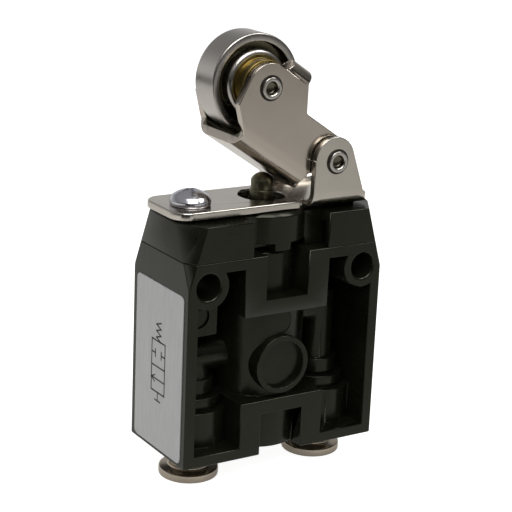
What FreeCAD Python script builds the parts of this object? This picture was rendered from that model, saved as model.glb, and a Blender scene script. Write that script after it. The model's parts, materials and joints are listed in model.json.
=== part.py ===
"""Roller lever air valve: a moulded two-way spool valve worked by a roller on a hinged lever.

Millimetres.  The origin is midway between the two fixing holes, on the back mounting face.
+X runs along the width, -Y out of the open front of the moulding, +Z up towards the roller.
"""
import FreeCAD, Part
import math
import os

from FreeCAD import Vector

# Housing
width = 30.0
depth = 14.8
parting_height = 28.0            # top of the body moulding, foot of the head moulding
head_top_height = 32.8
wall = 1.5
corner_cut_start = 24.3          # height where the four corner facets begin
corner_cut_width = 2.5
corner_cut_depth = 3.9
hole_height = 24.8
hole_spacing = 24.0
fixing_hole_radius = 1.75
fixing_boss_radius = 3.0

# Square pockets at the top and the foot of the valve tube
pocket_outer = 6.55
pocket_inner = 3.27
upper_pocket_foot = 19.9
upper_pocket_floor = 21.9
lower_pocket_top = 7.8
lower_pocket_roof = 5.8

# Valve tube and its bores
tube_foot_radius = 6.1
tube_top_radius = 6.5
tube_foot_height = 0.3
neck_radius = 5.0
neck_height = 27.7
spool_bore_radius = 2.5
spool_bore_foot = 2.0
neck_bore_radius = 3.7
neck_bore_foot = 23.0
inlet_groove_radius = 3.2
inlet_groove_height = 2.4
vent_radius = 0.7
disc_boss_radius = 4.05
disc_boss_height = 12.35
disc_rim = 0.75
disc_recess = 0.9
disc_setback = 0.3               # behind the front plane
gate_recess_radius = 1.6
gate_recess_height = 18.2

# Air passages from the ports to the tube
inlet_height = 13.1
inlet_boss_radius = 2.45
outlet_height = 17.8
outlet_boss_radius = 2.3
riser_radius = 2.35
passage_radius = 1.0

# Raised pad on the left with a round date mark
pad_right = -8.3
pad_foot = 16.75
pad_top = 22.3
pad_height = 3.6                 # how far it stands in front of the middle plane
date_mark_x = -11.2
date_mark_height = 19.55
date_mark_radius = 1.6
date_mark_width = 0.65
mark_depth = 0.3

# Push-in ports, one each side, for a tube of 4 mm
port_spacing = 20.0
tube_radius = 2.0
port_barrel_radius = 4.95
port_barrel_top = 6.35
port_step_radius = 4.0
port_step_top = 8.05
port_collar_radius = 3.0
port_collar_top = 10.3
socket_radius = 3.6
socket_top = 5.7
tube_seat_radius = 2.05
tube_seat_top = 7.6
release_travel = 0.8
release_bore_radius = 2.1
release_flange_radius = 4.1
release_flange_foot = -4.05
release_flange_thickness = 1.2
release_neck_radius = 2.7
release_neck_top = 2.9
slide_clearance = 0.08

# Head moulding
head_wall = 1.0
head_side_wall = 1.4
head_roof = 1.4
head_rib_place = 8.2
head_rib_thickness = 1.0
head_boss_radius = 2.75
guide_radius = 6.2
guide_top = 33.05
guide_chamfer = 0.4
guide_bore_foot = 30.6
castle_notch_height = 1.0
tab_left = -1.36
tab_right = 1.1
window_left = -5.4
window_right = 6.25
window_depth = 2.6
window_wall = 1.0                # closes the window beside the guide
seat_half_width = 12.2
seat_half_depth = 4.2
plate_seat_height = 33.2

# Bracket of bent sheet
bracket_thickness = 1.0
tongue_half_width = 5.1
tongue_left = -15.5
tongue_corner_radius = 2.5
bracket_right = 13.85
ear_half_width = 6.85
ear_left = 3.8
ear_foot_right = 11.7
ear_foot_height = 35.3
ear_bend_radius = 2.4
ear_round_x = 6.9
ear_round_height = 39.8
ear_round_radius = 3.05
plunger_hole_radius = 3.2
screw_spacing = 22.8
screw_line = 0.8                 # how far the two screws are in front of the middle plane
screw_shank_radius = 1.4
screw_hole_radius = 1.6
screw_head_radius = 2.75
screw_head_height = 2.1
screw_band = 1.0                 # height of the head's straight side

# Lever of bent sheet, drawn along its own arm: u from the pivot to the roller, v square to it
pivot_x = 7.24
pivot_height = 39.54
lever_tilt = 33.2                # degrees of the arm above level
lever_thickness = 1.2
lever_half_width = 5.65
lever_web_v = -5.55              # underside of the web that presses the plunger
lever_bend_radius = 1.7
lever_pivot_radius = 3.0
lever_axle_radius = 3.25
lip_v = 7.95
lip_bend_radius = 1.85
lip_reach = 3.25                 # half the gap between the two lips
axle_u = 14.0
axle_v = 3.0
web_near_u = 2.15                # the web runs between these two
web_far_u = 13.65
lip_near_u = 9.1                 # and the lips between these
lip_far_u = 12.05

# Rivets, roller and bushes
rivet_radius = 1.5
rivet_head_radius = 1.7
rivet_face_radius = 1.42
rivet_head_height = 0.4
rivet_bore_radius = 0.85
rivet_bore_depth = 0.9
running_clearance = 0.06
roller_setback = 0.3             # middle of the roller behind the middle of the lever
roller_radius = 6.5
roller_half_width = 2.3
roller_shoulder = 0.25
roller_rim_inner = 5.45
roller_recess = 1.15
roller_hub_radius = 4.45
roller_hub_half_width = 2.75
roller_hub_round = 0.2
bush_barrel_radius = 2.6
bush_flange_radius = 4.15
bush_flange_thickness = 0.1
bush_stub_radius = 3.4
bush_end_gap = 0.1

# Plunger and spool
plunger_radius = 1.67
plunger_tip_radius = 1.52
plunger_step_height = 35.0
dome_radius = 1.66
dome_gap = 0.03
collar_radius = 3.2
collar_thickness = 1.2
stem_radius = 1.6
spool_top = 22.8
spool_foot = 8.6
land_radius = 2.42
waist_radius = 1.3
o_ring_minor = 0.5
o_ring_heights = (9.7, 15.0, 21.4)
spool_lands = ((spool_foot, 10.8), (14.1, 15.9), (20.3, spool_top))
spring_wire_radius = 0.23
spring_wire_sides = 6
spring_coil_radius = 1.9
spring_turns = 5
seal_section_sides = 8

# Label on the left side
label_thickness = 0.12
label_foot = 0.5
label_top = 23.6
label_margin = 1.05
label_corner_radius = 0.9

mid_y = -depth / 2
screw_y = mid_y - screw_line
half_width = width / 2
UP = Vector(0, 0, 1)
BACK = Vector(0, 1, 0)
RIGHT = Vector(1, 0, 0)
margin = 1.0                     # how far a cutting solid runs past the face it opens


def block(low, high):
    """Box between two corners."""
    size = [b - a for a, b in zip(low, high)]
    return Part.makeBox(*size, Vector(*low))


def rod(radius, start, end):
    """Cylinder between two points."""
    axis = Vector(*end) - Vector(*start)
    return Part.makeCylinder(radius, axis.Length, Vector(*start), axis)


def tube(outer, inner, start, end):
    """Hollow cylinder between two points."""
    return rod(outer, start, end).cut(rod(inner, start, end))


def turned(profile, origin, axis):
    """Solid of revolution about Z of a closed (radius, height) profile, then set along an axis."""
    points = [Vector(radius, 0, height) for radius, height in profile]
    face = Part.Face(Part.makePolygon(points + points[:1]))
    solid = face.revolve(Vector(0, 0, 0), UP, 360)
    turn = FreeCAD.Rotation(UP, axis)
    solid.Placement = FreeCAD.Placement(Vector(*origin), turn)
    return solid


def corner_arc(before, corner, after, radius):
    """Start, middle and end of the arc that rounds a corner of an outline."""
    to_before = (before - corner).normalize()
    to_after = (after - corner).normalize()
    half_angle = to_before.getAngle(to_after) / 2
    reach = radius / math.tan(half_angle)
    bisector = (to_before + to_after).normalize()
    centre = corner + bisector * (radius / math.sin(half_angle))
    middle = centre - bisector * radius
    return corner + to_before * reach, middle, corner + to_after * reach


def rounded_face(points):
    """Face in the XY plane from (x, y, corner radius) points."""
    corners = [Vector(x, y, 0) for x, y, _ in points]
    count = len(points)
    stations = []
    for i, (_, _, radius) in enumerate(points):
        if radius > 0:
            arc = corner_arc(corners[i - 1], corners[i], corners[(i + 1) % count], radius)
        else:
            arc = (corners[i], None, corners[i])
        stations.append(arc)
    edges = []
    for i, (start, middle, end) in enumerate(stations):
        following = stations[(i + 1) % count][0]
        if middle is not None:
            edges.append(Part.Arc(start, middle, end).toShape())
        if end.distanceToPoint(following) > 1e-6:
            edges.append(Part.LineSegment(end, following).toShape())
    return Part.Face(Part.Wire(edges))


def front_prism(points, low_y, high_y):
    """Outline drawn in X and Z, carried along Y."""
    prism = rounded_face(points).extrude(UP * (high_y - low_y))
    prism.rotate(Vector(0, 0, 0), RIGHT, 90)
    prism.translate(Vector(0, high_y, 0))
    return prism


def side_prism(points, low_x, high_x):
    """Outline drawn in Y and Z, carried along X."""
    prism = rounded_face(points).extrude(UP * (high_x - low_x))
    prism.rotate(Vector(0, 0, 0), Vector(1, 1, 1), 120)
    prism.translate(Vector(low_x, 0, 0))
    return prism


def flat_prism(points, low_z, high_z):
    """Outline drawn in X and Y, carried along Z."""
    prism = rounded_face(points).extrude(UP * (high_z - low_z))
    prism.translate(Vector(0, 0, low_z))
    return prism


def fused(solids):
    """One solid from several that touch."""
    return solids[0].multiFuse(solids[1:]).removeSplitter()


def corner_facet(side, front):
    """Solid outside one corner facet, which widens from a point to the top of the head."""
    reach = (head_top_height + margin - corner_cut_start) / (head_top_height - corner_cut_start)
    x = side * half_width
    y = -depth if front else 0
    inward_y = 1 if front else -1
    top = corner_cut_start + reach * (head_top_height - corner_cut_start)
    foot = Vector(x, y, corner_cut_start)
    outer = Vector(x, y, top)
    along_y = Vector(x, y + inward_y * corner_cut_depth * reach, top)
    along_x = Vector(x - side * corner_cut_width * reach, y, top)
    faces = []
    for triangle in ((foot, outer, along_y), (foot, outer, along_x),
                     (foot, along_x, along_y), (outer, along_x, along_y)):
        faces.append(Part.Face(Part.makePolygon(list(triangle) + [triangle[0]])))
    return Part.Solid(Part.Shell(faces))


def housing_block(foot, top):
    """The housing's outer form between two heights, with its four corner facets."""
    form = block((-half_width, -depth, foot), (half_width, 0, top))
    facets = [corner_facet(side, front) for side in (-1, 1) for front in (True, False)]
    return form.cut(Part.makeCompound(facets))


def valve_tube():
    """Tapered tube up the middle of the body, with the narrow neck that the head fits over."""
    cone_height = upper_pocket_floor - tube_foot_height
    cone = Part.makeCone(tube_foot_radius, tube_top_radius, cone_height,
                         Vector(0, mid_y, tube_foot_height), UP)
    neck_chamfer = 0.3
    neck = turned([(0, upper_pocket_foot), (neck_radius, upper_pocket_foot),
                   (neck_radius, neck_height - neck_chamfer),
                   (neck_radius - neck_chamfer, neck_height), (0, neck_height)],
                  (0, mid_y, 0), UP)
    return cone.fuse(neck)


def square_pocket(foot, top, floor, roof):
    """Square block round the tube with a pocket open to the front and at one end."""
    surround = block((-pocket_outer, -depth, foot), (pocket_outer, 0, top))
    pocket = block((-pocket_inner, -depth - margin, floor), (pocket_inner, mid_y, roof))
    return surround.cut(pocket)


def port_barrel(x):
    """Stepped barrel that holds a push-in port."""
    groove = 0.25
    return turned([(0, 0), (port_barrel_radius, 0),
                   (port_barrel_radius, port_barrel_top),
                   (port_step_radius - groove, port_barrel_top),
                   (port_step_radius - groove, port_barrel_top + groove),
                   (port_step_radius, port_barrel_top + groove),
                   (port_step_radius, port_step_top),
                   (port_collar_radius - groove, port_step_top),
                   (port_collar_radius - groove, port_step_top + groove),
                   (port_collar_radius, port_step_top + groove),
                   (port_collar_radius, port_collar_top), (0, port_collar_top)],
                  (x, mid_y, 0), UP)


def port_bores(x, passage_top):
    """Socket, tube seat and passage of one port."""
    return fused([rod(socket_radius, (x, mid_y, -margin), (x, mid_y, socket_top)),
                  rod(tube_seat_radius, (x, mid_y, 0), (x, mid_y, tube_seat_top)),
                  rod(passage_radius, (x, mid_y, 0), (x, mid_y, passage_top))])


def body_moulding():
    port_x = port_spacing / 2
    inner = half_width - wall
    shell = housing_block(0, parting_height)
    hollow = block((-inner, -depth - margin, wall), (inner, -wall, parting_height - wall))
    shell = shell.cut(hollow)

    bosses = [rod(fixing_boss_radius, (x, -depth, hole_height), (x, 0, hole_height))
              for x in (-hole_spacing / 2, hole_spacing / 2)]
    bosses = [boss.common(housing_block(0, parting_height)) for boss in bosses]
    upper = square_pocket(upper_pocket_foot, parting_height,
                          upper_pocket_floor, parting_height + margin)
    lower = square_pocket(0, lower_pocket_top, -margin, lower_pocket_roof)
    barrels = [port_barrel(-port_x), port_barrel(port_x)]
    inlet_riser = rod(riser_radius, (-port_x, mid_y, port_step_top), (-port_x, mid_y, inlet_height))
    outlet_riser = rod(riser_radius, (port_x, mid_y, port_step_top),
                       (port_x, mid_y, outlet_height + outlet_boss_radius))
    outlet = rod(outlet_boss_radius, (0, mid_y, outlet_height), (port_x, mid_y, outlet_height))
    inlet = rod(inlet_boss_radius, (-inner, mid_y, inlet_height), (0, mid_y, inlet_height))
    pad_front = mid_y - pad_height
    pad = block((-inner, pad_front, pad_foot), (pad_right, 0, pad_top))
    open_foot = block((-pocket_inner, -depth - margin, -margin), (pocket_inner, mid_y, wall))
    open_top = block((-pocket_inner, -depth - margin, parting_height - wall),
                     (pocket_inner, mid_y, parting_height + margin))

    body = shell.cut(open_foot).cut(open_top)
    body = fused([body, upper, lower, valve_tube(), outlet_riser, inlet_riser, outlet, inlet, pad]
                 + barrels + bosses)

    face_y = -depth + disc_setback
    disc = rod(disc_boss_radius, (0, face_y, disc_boss_height), (0, mid_y, disc_boss_height))
    body = fused([body, disc])
    recess = rod(disc_boss_radius - disc_rim, (0, face_y - margin, disc_boss_height),
                 (0, face_y + disc_recess, disc_boss_height))
    gate = rod(gate_recess_radius, (0, -depth, gate_recess_height),
               (0, mid_y - tube_top_radius + mark_depth, gate_recess_height))
    date_mark = tube(date_mark_radius, date_mark_radius - date_mark_width,
                     (date_mark_x, pad_front - margin, date_mark_height),
                     (date_mark_x, pad_front + mark_depth, date_mark_height))

    bores = [rod(vent_radius, (0, mid_y, -margin), (0, mid_y, spool_bore_foot)),
             rod(spool_bore_radius, (0, mid_y, spool_bore_foot), (0, mid_y, parting_height)),
             rod(neck_bore_radius, (0, mid_y, neck_bore_foot), (0, mid_y, parting_height)),
             rod(inlet_groove_radius, (0, mid_y, inlet_height - inlet_groove_height / 2),
                 (0, mid_y, inlet_height + inlet_groove_height / 2)),
             rod(passage_radius, (-port_x, mid_y, inlet_height), (0, mid_y, inlet_height)),
             rod(passage_radius, (0, mid_y, outlet_height), (port_x, mid_y, outlet_height)),
             port_bores(-port_x, inlet_height), port_bores(port_x, outlet_height)]
    holes = [rod(fixing_hole_radius, (x, -depth - margin, hole_height), (x, margin, hole_height))
             for x in (-hole_spacing / 2, hole_spacing / 2)]
    for cutter in [recess, gate, date_mark] + bores + holes:
        body = body.cut(cutter)
    return body


def head_moulding():
    inner = half_width - head_side_wall
    roof_foot = head_top_height - head_roof
    screw_places = (-screw_spacing / 2, screw_spacing / 2)
    seat = block((-seat_half_width, mid_y - seat_half_depth, roof_foot),
                 (seat_half_width, mid_y + seat_half_depth, plate_seat_height))
    head = fused([housing_block(parting_height, head_top_height), seat])
    hollow = block((-inner, -depth + head_wall, parting_height - margin),
                   (inner, -head_side_wall, roof_foot))
    window = block((window_left, -depth - margin, parting_height - margin),
                   (window_right, -depth + window_depth, head_top_height + margin))
    head = head.cut(hollow).cut(window)
    wall_y = -depth + window_depth
    screen = block((window_left - margin, wall_y, parting_height),
                   (window_right + margin, wall_y + window_wall, roof_foot))
    head = fused([head, screen])
    for side in (-1, 1):
        near = side * head_rib_place
        far = side * (head_rib_place + head_rib_thickness)
        head = fused([head, block((min(near, far), -depth, parting_height),
                                  (max(near, far), -head_side_wall / 2, head_top_height - 0.5))])
    for x in screw_places:
        head = fused([head, rod(head_boss_radius, (x, screw_y, parting_height),
                                (x, screw_y, roof_foot + head_roof / 2))])
    guide = turned([(0, parting_height), (guide_radius, parting_height),
                    (guide_radius, guide_top - guide_chamfer),
                    (guide_radius - guide_chamfer, guide_top), (0, guide_top)],
                   (0, mid_y, 0), UP)
    head = fused([head, guide])

    notch_top = parting_height + castle_notch_height
    notch_left = block((-guide_radius - margin, -depth, parting_height - margin),
                       (tab_left, mid_y - neck_bore_radius, notch_top))
    notch_right = block((tab_right, -depth + head_wall + 0.1, parting_height - margin),
                        (guide_radius + margin, mid_y - neck_bore_radius, notch_top))
    cutters = [notch_left.common(rod(guide_radius + 0.02, (0, mid_y, 0), (0, mid_y, guide_top))),
               notch_right.common(rod(guide_radius + 0.02, (0, mid_y, 0), (0, mid_y, guide_top))),
               rod(plunger_radius + running_clearance, (0, mid_y, parting_height - margin),
                   (0, mid_y, plate_seat_height + margin)),
               rod(neck_bore_radius, (0, mid_y, parting_height - margin),
                   (0, mid_y, guide_bore_foot)),
               rod(plunger_radius + 0.6, (0, mid_y, guide_top - 0.5),
                   (0, mid_y, plate_seat_height + margin))]
    cutters += [rod(screw_shank_radius, (x, screw_y, parting_height - margin),
                    (x, screw_y, plate_seat_height + margin)) for x in screw_places]
    for cutter in cutters:
        head = head.cut(cutter)
    return head


def lever_bracket():
    foot = plate_seat_height
    top = foot + bracket_thickness
    outer = ear_half_width
    inner = outer - bracket_thickness
    tongue_right = ear_left - 0.8
    corner = tongue_corner_radius
    tongue = flat_prism([(tongue_left, mid_y - tongue_half_width, corner),
                         (tongue_right, mid_y - tongue_half_width, 0.3),
                         (tongue_right, mid_y + tongue_half_width, 0.3),
                         (tongue_left, mid_y + tongue_half_width, corner)], foot, top)
    relief = tongue_half_width - 1.0
    floor = flat_prism([(0, mid_y - relief, 0), (bracket_right, mid_y - relief, 0),
                        (bracket_right, mid_y + relief, 0), (0, mid_y + relief, 0)], foot, top)
    ear_top = ear_round_height + ear_round_radius
    section_outer = [(mid_y - outer, foot, ear_bend_radius), (mid_y + outer, foot, ear_bend_radius),
                     (mid_y + outer, ear_top, 0), (mid_y - outer, ear_top, 0)]
    inner_bend = ear_bend_radius - bracket_thickness
    section_inner = [(mid_y - inner, top, inner_bend), (mid_y + inner, top, inner_bend),
                     (mid_y + inner, ear_top + margin, 0), (mid_y - inner, ear_top + margin, 0)]
    channel = side_prism(section_outer, ear_left, bracket_right)
    channel = channel.cut(side_prism(section_inner, ear_left - margin, bracket_right + margin))

    run_x = ear_foot_right - ear_round_x
    run_z = ear_foot_height - ear_round_height
    turn = math.acos(ear_round_radius / math.hypot(run_x, run_z))
    tangent = math.atan2(run_z, run_x) + turn
    touch = (ear_round_x + ear_round_radius * math.cos(tangent),
             ear_round_height + ear_round_radius * math.sin(tangent))
    ear_side = front_prism([(ear_left, foot, 0), (bracket_right, foot, 0),
                            (ear_foot_right + 0.8, foot + 0.75, 1.2),
                            (ear_foot_right + 0.45, ear_foot_height - 0.3, 0.2),
                            (ear_foot_right, ear_foot_height, 0.2),
                            (touch[0], touch[1], 0), (ear_round_x, ear_round_height, 0),
                            (ear_left, ear_round_height, 0)], -depth - margin, margin)
    ear_round = rod(ear_round_radius, (ear_round_x, -depth - margin, ear_round_height),
                    (ear_round_x, margin, ear_round_height))
    ears = channel.common(fused([ear_side, ear_round]))
    bracket = fused([tongue, floor, ears])
    cutters = [rod(plunger_hole_radius, (0, mid_y, foot - margin), (0, mid_y, top + margin)),
               rod(rivet_radius, (pivot_x, -depth, pivot_height), (pivot_x, 0, pivot_height))]
    cutters += [rod(screw_hole_radius, (x, screw_y, foot - margin), (x, screw_y, top + margin))
                for x in (-screw_spacing / 2, screw_spacing / 2)]
    for cutter in cutters:
        bracket = bracket.cut(cutter)
    return bracket


def pan_screw(x):
    """M3 pan head screw with a cross recess."""
    seat = plate_seat_height + bracket_thickness
    top = seat + screw_head_height
    shank_length = 6.0
    crown_height = screw_head_height - screw_band
    crown_radius = (screw_head_radius ** 2 + crown_height ** 2) / (2 * crown_height)
    crown = Part.makeSphere(crown_radius, Vector(x, screw_y, top - crown_radius))
    head = rod(screw_head_radius, (x, screw_y, seat), (x, screw_y, top)).common(crown)
    shank = rod(screw_shank_radius, (x, screw_y, seat - shank_length), (x, screw_y, seat))
    slot_half = 0.26
    arm = 1.1
    foot = top - 1.1
    slots = [block((x - arm, screw_y - slot_half, foot), (x + arm, screw_y + slot_half, top + margin)),
             block((x - slot_half, screw_y - arm, foot), (x + slot_half, screw_y + arm, top + margin))]
    return fused([head, shank]).cut(fused(slots))


def bracket_screws():
    return Part.makeCompound([pan_screw(-screw_spacing / 2), pan_screw(screw_spacing / 2)])


def tubular_rivet(x, height, grip_half):
    """Semi-tubular rivet along Y, whose two raised heads clamp plates out to grip_half."""
    end = grip_half + rivet_head_height
    lead = 0.15
    bore_floor = end - rivet_bore_depth
    half = [(rivet_radius, grip_half), (rivet_head_radius, grip_half),
            (rivet_head_radius, grip_half + lead), (rivet_face_radius, end),
            (rivet_bore_radius + lead, end), (rivet_bore_radius, end - lead),
            (rivet_bore_radius, bore_floor), (0, bore_floor - lead)]
    other_half = [(radius, -offset) for radius, offset in reversed(half)]
    return turned(other_half + half, (x, mid_y, height), BACK)


def lever_place(u, v):
    """Height and place across of a point given along the lever's own arm."""
    tilt = math.radians(lever_tilt)
    x = pivot_x - u * math.cos(tilt) + v * math.sin(tilt)
    z = pivot_height + u * math.sin(tilt) + v * math.cos(tilt)
    return x, z


def set_on_arm(shape):
    """Carry a shape drawn with u along -X and v along Z onto the tilted arm."""
    placed = shape.copy()
    placed.rotate(Vector(0, 0, 0), BACK, lever_tilt)
    placed.translate(Vector(pivot_x, 0, pivot_height))
    return placed


def lever():
    outer = lever_half_width
    web_bend_inner = lever_bend_radius - lever_thickness
    lip_bend_inner = lip_bend_radius - lever_thickness
    length = axle_u + 2 * lever_axle_radius
    front = mid_y - outer
    rear = mid_y + outer
    box_outer = [(front, lever_web_v, lever_bend_radius), (rear, lever_web_v, lever_bend_radius),
                 (rear, lip_v, lip_bend_radius), (front, lip_v, lip_bend_radius)]
    web_top = lever_web_v + lever_thickness
    lip_foot = lip_v - lever_thickness
    front += lever_thickness
    rear -= lever_thickness
    box_inner = [(front, web_top, web_bend_inner), (rear, web_top, web_bend_inner),
                 (rear, lip_foot, lip_bend_inner), (front, lip_foot, lip_bend_inner)]
    folded = side_prism(box_outer, -length, length)
    folded = folded.cut(side_prism(box_inner, -length - margin, length + margin))
    gap = block((-length - margin, mid_y - lip_reach, 0),
                (length + margin, mid_y + lip_reach, lip_v + margin))
    folded = folded.cut(gap)

    r = lever_pivot_radius
    far_left = -axle_u - lever_axle_radius
    axle_top = axle_v + lever_axle_radius
    low = lever_web_v - margin
    high = lip_v + margin
    nose = [(-web_far_u - 0.3, lever_web_v + 1.75, 0.3), (far_left + 0.35, -1.1, 0.4),
            (far_left, 2.5, 0), (far_left, axle_top, lever_axle_radius - 0.05)]
    shoulder = [(-lip_near_u - 0.15, axle_top + 0.05, 0.4), (-lip_near_u + 1.95, r, 0.4)]
    side = [(r, -r, r), (-web_near_u, -r, 0.3), (-web_near_u, low, 0), (-web_far_u, low, 0)]
    side += nose + [(-lip_far_u - 1.25, axle_top - 0.1, 0.2),
                    (-lip_far_u, lip_v, 0.3), (-lip_far_u, high, 0),
                    (-lip_near_u, high, 0), (-lip_near_u, lip_v - 0.8, 0.3)]
    side += shoulder + [(r, r, r)]
    outline = front_prism(side, -depth, 0)
    blank = folded.common(outline)
    pivot_hole = rod(rivet_radius + running_clearance, (0, -depth, 0), (0, 0, 0))
    axle_hole = rod(rivet_radius, (-axle_u, -depth, axle_v), (-axle_u, 0, axle_v))
    return set_on_arm(blank.cut(pivot_hole).cut(axle_hole))


def roller():
    x, z = lever_place(axle_u, axle_v)
    recess_floor = roller_half_width - roller_recess
    side = [(bush_barrel_radius, roller_hub_half_width),
            (roller_hub_radius - roller_hub_round, roller_hub_half_width),
            (roller_hub_radius, roller_hub_half_width - roller_hub_round),
            (roller_hub_radius, recess_floor), (roller_rim_inner, recess_floor),
            (roller_rim_inner, roller_half_width),
            (roller_radius - roller_shoulder, roller_half_width),
            (roller_radius, roller_half_width - roller_shoulder)]
    other_side = [(radius, -offset) for radius, offset in reversed(side)]
    return turned(side + other_side, (x, mid_y + roller_setback, z), BACK)


def roller_bush(facing):
    """Flanged bronze bush pressed into one side of the roller."""
    x, z = lever_place(axle_u, axle_v)
    bore = rivet_radius + running_clearance
    end = lever_half_width - lever_thickness - bush_end_gap - facing * roller_setback
    flange = roller_hub_half_width + bush_flange_thickness
    half_gap = 0.05
    profile = [(bore, half_gap), (bush_barrel_radius, half_gap),
               (bush_barrel_radius, roller_hub_half_width),
               (bush_flange_radius, roller_hub_half_width), (bush_flange_radius, flange),
               (bush_stub_radius, flange), (bush_stub_radius, end), (bore, end)]
    return turned(profile, (x, mid_y + roller_setback, z), BACK * facing)


def dome_centre_height():
    """Height of the dome's centre that sets the dome dome_gap under the web."""
    tilt = math.radians(lever_tilt)
    reach = -lever_web_v + dome_radius + dome_gap
    return pivot_height - (reach - pivot_x * math.sin(tilt)) / math.cos(tilt)


def plunger():
    centre = dome_centre_height()
    shoulder = centre + math.sqrt(dome_radius ** 2 - plunger_tip_radius ** 2)
    collar_top = guide_bore_foot - 0.05
    dome = Part.makeSphere(dome_radius, Vector(0, mid_y, centre))
    dome_end = rod(plunger_tip_radius, (0, mid_y, shoulder), (0, mid_y, centre + dome_radius))
    tip = rod(plunger_tip_radius, (0, mid_y, plunger_step_height), (0, mid_y, shoulder))
    pin = rod(plunger_radius, (0, mid_y, collar_top), (0, mid_y, plunger_step_height))
    collar = rod(collar_radius, (0, mid_y, collar_top - collar_thickness), (0, mid_y, collar_top))
    stem = rod(stem_radius, (0, mid_y, spool_top), (0, mid_y, collar_top))
    return fused([dome_end.common(dome), tip, pin, collar, stem])


def polygon(sides, radius):
    """Corners of a regular polygon about the origin, with a flat at its right."""
    angles = [2 * math.pi * (i + 0.5) / sides for i in range(sides)]
    return [(radius * math.cos(angle), radius * math.sin(angle)) for angle in angles]


def o_ring(major, minor, x, height):
    """Rubber ring about Z, its round section taken as a polygon."""
    profile = [(major + across, height + along) for across, along in polygon(seal_section_sides, minor)]
    return turned(profile, (x, mid_y, 0), UP)


def spool():
    groove = 2 * o_ring_minor + 0.2
    core = land_radius + 0.03 - 2 * o_ring_minor
    solids = [rod(waist_radius, (0, mid_y, spool_foot), (0, mid_y, spool_top))]
    solids += [rod(land_radius, (0, mid_y, low), (0, mid_y, high)) for low, high in spool_lands]
    body = fused(solids)
    for height in o_ring_heights:
        body = body.cut(tube(land_radius + margin, core, (0, mid_y, height - groove / 2),
                             (0, mid_y, height + groove / 2)))
    return body


def spool_o_rings():
    major = land_radius + 0.03 - o_ring_minor
    return Part.makeCompound([o_ring(major, o_ring_minor, 0, height) for height in o_ring_heights])


def return_spring():
    """Coil spring between the floor of the bore and the foot of the spool."""
    gap = 0.05
    foot = spool_bore_foot + spring_wire_radius + gap
    top = spool_foot - spring_wire_radius - gap
    helix = Part.makeHelix((top - foot) / spring_turns, top - foot, spring_coil_radius)
    corners = [Vector(spring_coil_radius + across, 0, along)
               for across, along in polygon(spring_wire_sides, spring_wire_radius)]
    section = Part.makePolygon(corners + corners[:1])
    coil = Part.Wire(helix).makePipeShell([section], True, True)
    coil.translate(Vector(0, mid_y, foot))
    return coil


def neck_seal():
    minor = 0.9
    return o_ring((stem_radius + neck_bore_radius) / 2 + 0.03, minor, 0, neck_bore_foot + 1.7)


def seal_retainer():
    foot = neck_bore_foot + 2.7
    return tube(neck_bore_radius, stem_radius + 0.15, (0, mid_y, foot), (0, mid_y, foot + 0.8))


def port_sleeve(x):
    """Nickel-plated brass sleeve pressed into the port, which guides the release ring."""
    inner = release_neck_radius + slide_clearance
    top = release_neck_top + release_travel + 0.15
    return tube(socket_radius, inner, (x, mid_y, 0), (x, mid_y, top))


def grab_ring(x):
    """Toothed ring of spring steel that holds the tube."""
    foot = release_neck_top + release_travel + 0.15
    thickness = 0.25
    tooth_rise = 0.3
    tip = tube_radius - 0.05
    root = 2.9
    disc = turned([(root, 0), (socket_radius, 0), (socket_radius, thickness),
                   (root, thickness), (tip, thickness + tooth_rise), (tip, tooth_rise)],
                  (x, mid_y, foot), UP)
    slot_half = 0.14
    tooth_count = 8
    slot = block((tip - margin, -slot_half, -margin), (root, slot_half, margin + thickness))
    for tooth in range(tooth_count):
        cutter = slot.copy()
        cutter.rotate(Vector(0, 0, 0), UP, 360 * tooth / tooth_count)
        cutter.translate(Vector(x, mid_y, foot))
        disc = disc.cut(cutter)
    return disc


def tube_seal(x):
    minor = 0.72
    return o_ring(socket_radius - minor - 0.02, minor, x, socket_top - minor - 0.02)


def release_ring(x):
    """Ring that is pushed up against the grab ring to free the tube."""
    foot = release_flange_foot
    top = foot + release_flange_thickness
    edge = 0.25
    countersink = 0.3
    profile = [(release_bore_radius + countersink, foot), (release_flange_radius - edge, foot),
               (release_flange_radius, foot + edge), (release_flange_radius, top - edge),
               (release_flange_radius - edge, top), (release_neck_radius + 0.4, top + 0.1),
               (release_neck_radius, top + 0.4), (release_neck_radius, release_neck_top - 0.3),
               (release_neck_radius - 0.3, release_neck_top), (release_bore_radius, release_neck_top),
               (release_bore_radius, foot + countersink)]
    return turned(profile, (x, mid_y, 0), UP)


def rating_label():
    """Blank silver label on the left side."""
    outline = [(-depth + label_margin, label_foot, label_corner_radius),
               (-label_margin, label_foot, label_corner_radius),
               (-label_margin, label_top, label_corner_radius),
               (-depth + label_margin, label_top, label_corner_radius)]
    return side_prism(outline, -half_width - label_thickness, -half_width)


def write(name, shape):
    """Move a shape from the foot of the housing to the origin between the holes, and save it."""
    placed = shape.copy()
    placed.translate(Vector(0, 0, -hole_height))
    if not placed.isValid():
        raise ValueError(name + " is not a valid solid")
    placed.exportStep("parts/" + name + ".step")


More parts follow.
